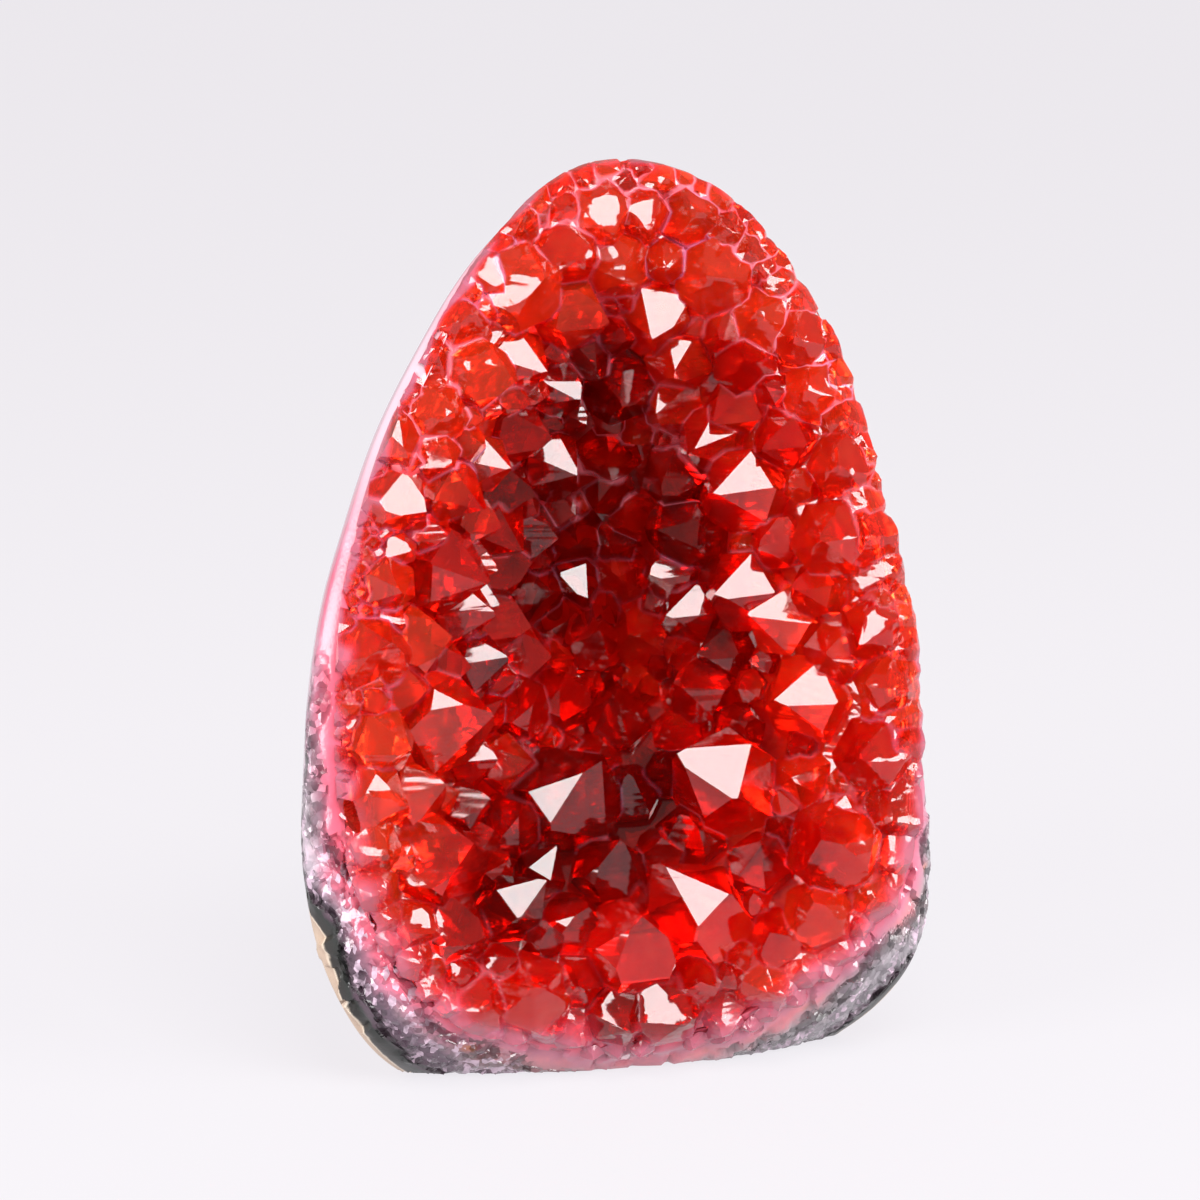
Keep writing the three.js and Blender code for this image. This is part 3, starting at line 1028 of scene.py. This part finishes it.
class Finish:
    def __init__(self, name):
        self.material = bpy.data.materials.new(name)
        self.material.use_nodes = True
        self.tree = self.material.node_tree
        self.tree.nodes.clear()

    def node(self, kind, settings=None, inputs=None, output=0):
        made = self.tree.nodes.new(kind)
        for name, value in (settings or {}).items():
            if name == "stops":
                self.set_stops(made.color_ramp, value)
            else:
                setattr(made, name, value)
        for key, value in (inputs or {}).items():
            if isinstance(value, Value):
                self.tree.links.new(value.socket, made.inputs[key])
            else:
                made.inputs[key].default_value = value
        return None if output is None else Value(self, made.outputs[output])

    @staticmethod
    def set_stops(ramp, stops):
        while len(ramp.elements) < len(stops):
            ramp.elements.new(1)
        for element, (position, colour) in zip(ramp.elements, stops):
            element.position = position
            element.color = (*colour, 1)

    def place(self):
        """The place on the piece, in metres."""
        return self.node("ShaderNodeTexCoord", output="Object")

    def attribute(self, name):
        return self.node("ShaderNodeAttribute", {"attribute_name": name}, output="Fac")

    def noise(self, where, size, detail=2, roughness=0.5):
        """Clouds of about a size in millimetres, from 0 to 1."""
        inputs = {"Vector": where, "Scale": 1 / (size * MM), "Detail": detail,
                  "Roughness": roughness}
        return self.node("ShaderNodeTexNoise", {"noise_dimensions": "3D"}, inputs)

    def ramp(self, value, stops):
        return self.node("ShaderNodeValToRGB", {"stops": stops}, {"Fac": value})

    def between(self, value, low, high):
        """0 where a value is under low, 1 where it is over high."""
        inputs = {"Value": value, "From Min": low, "From Max": high}
        return self.node("ShaderNodeMapRange", {"interpolation_type": "SMOOTHSTEP"}, inputs)

    def mix(self, factor, first, second):
        """The first colour where the factor is 0, the second where it is 1."""
        colours = [c if isinstance(c, Value) else (*c, 1) for c in (first, second)]
        inputs = {0: factor, 6: colours[0], 7: colours[1]}
        return self.node("ShaderNodeMix", {"data_type": "RGBA"}, inputs, output=2)

    def vector(self, operation, first, second, output=0):
        settings = {"operation": operation}
        return self.node("ShaderNodeVectorMath", settings, {0: first, 1: second}, output)

    def coordinate(self, where, axis):
        return self.node("ShaderNodeSeparateXYZ", {}, {"Vector": where}, output=axis)

    def cells(self, where, size):
        """A random colour for each cell of about a size in millimetres."""
        inputs = {"Vector": where, "Scale": 1 / (size * MM)}
        return self.node("ShaderNodeTexVoronoi", {}, inputs, output="Color")

    def facets(self, where, size):
        """The height of cells that each slope their own way."""
        colour = self.cells(where, size)
        cell = Value(self, colour.socket.node.outputs["Position"])
        scaled = self.vector("MULTIPLY", where, [1 / (size * MM)] * 3)
        from_cell = self.vector("SUBTRACT", scaled, cell)
        slope = self.vector("SUBTRACT", colour, HALF)
        return self.vector("DOT_PRODUCT", from_cell, slope, output="Value")

    def bump(self, height, depth):
        """A normal from a height whose 1 stands for a depth in millimetres."""
        inputs = {"Height": height, "Distance": depth * MM, "Strength": 1.0}
        return self.node("ShaderNodeBump", {}, inputs)

    def close(self, shader, volume=None):
        inputs = {"Surface": shader, "Volume": volume} if volume else {"Surface": shader}
        self.node("ShaderNodeOutputMaterial", {}, inputs, output=None)
        return self.material


# %% [markdown]
# The crystals are clear quartz with a red stain, so light goes through them: the shader
# transmits, bends the light as quartz does, and absorbs all but red on the way. Some of the
# stain sits in the skin of each crystal, which the base colour stands for. Its tone differs
# from crystal to crystal, and pale lines follow the seams. The base colour is also darker in
# the deep and low down, which is painted shade.

# %% Red quartz
QUARTZ_IOR = 1.544
DEEP_RED = (0.25, 0.001, 0.0005)
MID_RED = (0.78, 0.007, 0.002)
BRIGHT_RED = (1.0, 0.075, 0.016)
SEAM_PINK = (0.88, 0.22, 0.29)
SEAM_LILAC = (0.64, 0.20, 0.36)
MARGIN_PINK = (0.68, 0.048, 0.08)
MILKY_PINK = (0.50, 0.14, 0.215)


def red_quartz():
    finish = Finish("red_quartz")
    where = finish.place()
    fine = finish.noise(where, 3, 1, 0.6)
    # The ramp from deep to bright red carries each crystal's tone, and painted shade that is
    # darker in the deep and low down
    strength = finish.attribute("richness") + finish.attribute("tone") * 0.5 + fine * 0.5
    body = finish.ramp(strength.clamped(), [(0, DEEP_RED), (0.5, MID_RED), (1, BRIGHT_RED)])
    seams = 1 - finish.between(finish.attribute("seam"), 0.05, 1)
    seams = seams * finish.attribute("seam_strength")
    seam_colour = finish.mix(finish.attribute("lilac"), SEAM_PINK, SEAM_LILAC)
    milk = finish.attribute("milk") + (fine - 0.5) * 0.35
    milky = (seams + finish.between(milk, 0.2, 0.95) * 0.8).clamped()
    stretched = finish.node("ShaderNodeMapping", {}, {"Vector": where, "Scale": (1, 1, 7)})
    normal = finish.bump(finish.noise(stretched, 6, 0) * 0.5, 0.12)
    shader = finish.node("ShaderNodeBsdfPrincipled", {}, {
        "Base Color": body,
        "Roughness": 0.08,
        "IOR": QUARTZ_IOR,
        "Transmission Weight": 0.86,
        "Normal": normal,
    })
    volume = finish.node("ShaderNodeVolumeAbsorption", {},
                         {"Color": (0.99, 0.15, 0.10, 1), "Density": 60.0})
    milk_colour = finish.ramp(milk.clamped(), [(0.45, MARGIN_PINK), (0.8, MILKY_PINK)])
    milk_colour = finish.mix(finish.between(milk, 0, 0.45), seam_colour, milk_colour)
    cloudy = finish.node("ShaderNodeBsdfPrincipled", {}, {
        "Base Color": milk_colour, "Roughness": 0.2, "IOR": QUARTZ_IOR, "Normal": normal,
        "Transmission Weight": 0.35,
    })
    both = finish.node("ShaderNodeMixShader", {}, {0: milky, 1: shader, 2: cloudy})
    return finish.close(both, volume)


crust.data.materials.clear()
crust.data.materials.append(red_quartz())

# %% [markdown]
# The wall's finish turns depth into the geode's bands, with clouds that make them wander.
# Over them come the pale polished stone above, the grey on the right, the pink beside the
# crystals, iron stains and the druse's pale flecks of crystal, which partly are painted
# sparkle. Polished agate is glossy, the skin dull.

# %% Banded stone
BAND_DEPTH = 30
BANDS = [
    (0.0, (0.50, 0.38, 0.29)),
    (1.1, (0.42, 0.31, 0.24)),
    (1.25, (0.72, 0.60, 0.48)),
    (1.45, (0.022, 0.018, 0.016)),
    (2.8, (0.016, 0.019, 0.017)),
    (3.5, (0.060, 0.033, 0.050)),
    (7.0, (0.12, 0.075, 0.105)),
    (8.6, (0.22, 0.14, 0.17)),
    (10.0, (0.17, 0.10, 0.105)),
    (12.0, (0.38, 0.155, 0.18)),
    (14.5, (0.60, 0.17, 0.20)),
    (17.5, (0.62, 0.09, 0.10)),
    (21.0, (0.66, 0.04, 0.035)),
    (25.0, (0.55, 0.02, 0.015)),
]
RIGHT_GREY = (0.30, 0.28, 0.30)
BESIDE_CRYSTALS = (0.54, 0.085, 0.135)
MILKY_BESIDE = (0.40, 0.145, 0.215)
UPPER_PALE = (0.52, 0.44, 0.50)
FLECK_AND_SPARKLE_PALE = (0.62, 0.46, 0.57)
PINK_TO = 72 * MM
UPPER_FROM = 22 * MM
UPPER_TO = 38 * MM
IRON_STAIN = (0.42, 0.13, 0.03)


def banded_stone():
    finish = Finish("geode_stone")
    where = finish.place()
    depth = finish.attribute("depth")
    druse = finish.attribute("druse")
    cloud = finish.noise(where, 9, 3)
    fine = finish.noise(where, 1.6, 3, 0.6)
    loose = finish.between(depth, 0.5, 5)
    wander = (cloud - 0.5) * 5 + (fine - 0.5) * 2.5
    wandering = depth + wander * (loose * 0.9 + 0.1)
    stops = [(at / BAND_DEPTH, colour) for at, colour in BANDS]
    colour = finish.ramp((wandering / BAND_DEPTH).clamped(), stops)
    up = finish.coordinate(where, "Z")
    pale = finish.between(up + (cloud - 0.5) * 10 * MM, UPPER_FROM, UPPER_TO)
    pale = pale * finish.between(wandering, 3.5, 5.5) * (1 - finish.between(wandering, 11, 15))
    colour = finish.mix(pale * 0.85, colour, UPPER_PALE)
    outward = finish.attribute("outward") + (cloud - 0.5) * 5 + (fine - 0.5) * 2
    beside = (1 - finish.between(outward, 2.5, 6)) * finish.between(depth, 4, 7)
    beside = beside * (1 - finish.between(up, PINK_TO, PINK_TO + 20 * MM) * 0.8)
    pink = finish.mix(finish.between(outward, 1, 4), BESIDE_CRYSTALS, MILKY_BESIDE)
    across = finish.coordinate(where, "X")
    grey = finish.between(across, 0, 20 * MM) * finish.between(wandering, 4, 5)
    colour = finish.mix(grey * (1 - finish.between(wandering, 11, 14)) * 0.7, colour, RIGHT_GREY)
    colour = finish.mix(beside, colour, pink)
    stain = finish.between(finish.noise(where, 5, 2), 0.6, 0.72)
    stain = stain * finish.between(wandering, 9, 11) * (1 - finish.between(wandering, 12, 15))
    colour = finish.mix(stain * (1 - pale) * 0.7, colour, IRON_STAIN)
    slanted = finish.node("ShaderNodeMapping", {}, {
        "Vector": where, "Rotation": (0.3, 0.9, 0.4), "Scale": (1.5, 1.5, 0.7),
    })
    # Pale flecks of druse crystal, partly painted sparkle
    flecks_and_painted_sparkle = finish.between(finish.cells(slanted, 1.1), 0.62, 0.68)
    flecks_and_painted_sparkle = flecks_and_painted_sparkle * finish.between(finish.noise(where, 3.5, 3, 0.6), 0.38, 0.55)
    colour = finish.mix(flecks_and_painted_sparkle * druse * 0.75, colour, FLECK_AND_SPARKLE_PALE)
    sparkle = finish.facets(where, 1.1)
    height = sparkle * druse + finish.noise(where, 0.5, 2) * 0.03
    normal = finish.bump(height, 1.1)
    dull = 1 - finish.between(wandering, 1.0, 1.5)
    black = 1 - dull - finish.between(wandering, 4, 5.5)
    shader = finish.node("ShaderNodeBsdfPrincipled", {}, {
        "Base Color": colour,
        "Roughness": dull * 0.4 + black * 0.22 + pale * 0.15 + 0.12,
        "IOR": QUARTZ_IOR,
        "Normal": normal,
    })
    return finish.close(shader)


shell.data.materials.clear()
shell.data.materials.append(banded_stone())

# %% [markdown]
# The photograph has a plain, very pale ground and a soft light from high in front, whose
# reflection turns the crystal faces that meet it nearly white. A square area light stands in
# for that soft box, and two more light the stone from the sides. The floor reaches far enough
# behind to fill the frame. It glows by itself, which keeps it even, and its glow isn't sampled
# as a light, which would only make the picture slow.

# %% Floor and light
FLOOR_SIZE = 12
FLOOR_IN_FRONT = 0.2
FLOOR_GLOW = 0.805
# Each is a name, the direction that it stands in, its distance and size in metres, and watts
LIGHTS = [
    ("key", (0.056, -0.639, 0.766), 0.75, 0.40, 7.9),
    ("left_fill", (-0.85, -0.45, 0.30), 0.9, 0.45, 9.6),
    ("right_fill", (0.80, -0.60, 0.25), 0.9, 0.45, 9.6),
]
AMBIENT = (1, 0.90, 0.84, 1)
AMBIENT_STRENGTH = 0.34
TARGET = Vector((0, 0, 62)) * MM


def backdrop():
    bm = bmesh.new()
    bmesh.ops.create_grid(bm, x_segments=1, y_segments=1, size=FLOOR_SIZE / 2)
    bmesh.ops.translate(bm, vec=(0, FLOOR_SIZE / 2 - FLOOR_IN_FRONT, 0), verts=bm.verts)
    floor = mesh_object("floor", bm, bpy.context.scene.collection)
    finish = Finish("pale_floor")
    shader = finish.node("ShaderNodeBsdfPrincipled", {}, {
        "Base Color": (0.05, 0.05, 0.05, 1), "Roughness": 0.9,
        "Emission Color": (0.98, 0.95, 1, 1), "Emission Strength": FLOOR_GLOW,
    })
    material = finish.close(shader)
    material.cycles.emission_sampling = "NONE"
    floor.data.materials.append(material)


def soft_box(name, direction, distance, size, power):
    data = bpy.data.lights.new(name, "AREA")
    data.size = size
    data.energy = power
    lamp = bpy.data.objects.new(name, data)
    bpy.context.scene.collection.objects.link(lamp)
    direction = Vector(direction).normalized()
    lamp.location = TARGET + direction * distance
    lamp.rotation_euler = direction.to_track_quat("Z", "Y").to_euler()


backdrop()
for light in LIGHTS:
    soft_box(*light)
world = bpy.data.worlds.new("studio")
world.use_nodes = True
world.node_tree.nodes["Background"].inputs["Color"].default_value = AMBIENT
world.node_tree.nodes["Background"].inputs["Strength"].default_value = AMBIENT_STRENGTH
bpy.context.scene.world = world
bpy.context.scene.view_settings.view_transform = "Standard"

# %% [markdown]
# The camera looks a little down and from a little to the left, from 0.6 m away, which the
# outline of the stone and the height of its foot give. The stone stands a little left of the
# middle of the picture, so camera and aim move to the right together.

# %% The camera
AZIMUTH = math.radians(-13)
ELEVATION = math.radians(13)
CAMERA_DISTANCE = 0.6
LENS = 125.1
ASIDE = 2.45 * MM
ABOVE = 0.6 * MM
back_to_camera = Vector((
    math.sin(AZIMUTH) * math.cos(ELEVATION),
    -math.cos(AZIMUTH) * math.cos(ELEVATION),
    math.sin(ELEVATION),
))
facing = back_to_camera.to_track_quat("Z", "Y")
aim = TARGET + facing @ Vector((ASIDE, ABOVE, 0))
camera_data = bpy.data.cameras.new("photo_view")
camera_data.lens = LENS
camera_data.sensor_width = 36
camera = bpy.data.objects.new("photo_view", camera_data)
camera.location = aim + back_to_camera * CAMERA_DISTANCE
camera.rotation_euler = facing.to_euler()
bpy.context.scene.collection.objects.link(camera)
bpy.context.scene.camera = camera
